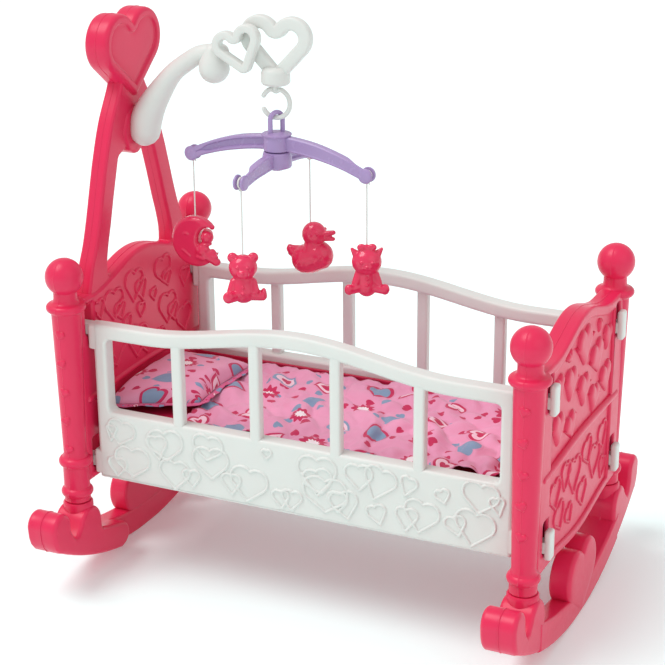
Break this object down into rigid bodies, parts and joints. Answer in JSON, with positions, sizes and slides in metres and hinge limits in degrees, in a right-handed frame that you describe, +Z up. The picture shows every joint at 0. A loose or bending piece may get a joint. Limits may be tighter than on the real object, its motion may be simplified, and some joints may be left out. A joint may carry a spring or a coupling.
{
  "type": "toy doll cradle",
  "caption": "Rocking doll cradle with a heart-topped A-frame headboard, slatted side panels, bedding and a hanging charm mobile on a curved arm.",
  "frame": {"origin": "on the floor, under the middle of the bed", "axes": "+X from the head end to the foot end, +Y from the front side to the rear, +Z up"},
  "size_m": [0.487, 0.376, 0.5355],
  "materials": {
    "pink_plastic": "semi-gloss blow-moulded plastic",
    "tray_plastic": "semi-gloss moulded plastic",
    "white_plastic": "semi-gloss moulded plastic",
    "purple_plastic": "semi-gloss moulded plastic",
    "charm_plastic": "glossy moulded plastic",
    "pillow_fabric": "printed woven cloth",
    "spread_fabric": "printed woven cloth",
    "string": "twisted thread"
  },
  "bodies": {
    "cradle": {"headboard": "pink_plastic", "footboard": "pink_plastic", "head_rocker": "pink_plastic", "foot_rocker": "pink_plastic", "front_side_panel": "white_plastic", "rear_side_panel": "white_plastic", "bed_tray": "tray_plastic", "pillow": "pillow_fabric", "bedspread": "spread_fabric", "mobile_arm": "white_plastic", "small_heart_ring": "white_plastic", "large_heart_ring": "white_plastic"},
    "hook": {"swivel_hook": "white_plastic"},
    "mobile": {"long_bar": "purple_plastic", "hub_pin": "purple_plastic"},
    "short_bar": {"short_bar": "purple_plastic"},
    "moon": {"moon_loop": "string", "moon_string": "string", "moon_charm": "charm_plastic"},
    "cat": {"cat_loop": "string", "cat_string": "string", "cat_charm": "charm_plastic"},
    "bear": {"bear_loop": "string", "bear_string": "string", "bear_charm": "charm_plastic"},
    "duck": {"duck_loop": "string", "duck_string": "string", "duck_charm": "charm_plastic"}
  },
  "joints": [
    {"name": "hook_swivel", "type": "hinge", "parent": "cradle", "child": "hook", "pos_m": [-0.066, 0, 0.48], "axis": [0, 0, 1], "continuous": true},
    {"name": "mobile_swing", "type": "hinge", "parent": "hook", "child": "mobile", "pos_m": [-0.066, 0, 0.442], "axis": [0.9962, 0.0872, 0], "range_deg": [-10, 10]},
    {"name": "short_bar_turn", "type": "hinge", "parent": "mobile", "child": "short_bar", "pos_m": [-0.066, 0, 0.403], "axis": [0, 0, 1], "range_deg": [-15, 15]},
    {"name": "moon_swing", "type": "hinge", "parent": "mobile", "child": "moon", "pos_m": [-0.15827, 0.00665, 0.3985], "axis": [0.0611, 0.9981, 0], "range_deg": [-12, 12]},
    {"name": "cat_swing", "type": "hinge", "parent": "mobile", "child": "cat", "pos_m": [0.02639, -0.00465, 0.3985], "axis": [0.0611, 0.9981, 0], "range_deg": [-12, 12]},
    {"name": "bear_swing", "type": "hinge", "parent": "short_bar", "child": "bear", "pos_m": [-0.07095, -0.06281, 0.3958], "axis": [-0.998, 0.0628, 0], "range_deg": [-12, 12]},
    {"name": "duck_swing", "type": "hinge", "parent": "short_bar", "child": "duck", "pos_m": [-0.06304, 0.06294, 0.3958], "axis": [-0.998, 0.0628, 0], "range_deg": [-12, 12]}
  ]
}
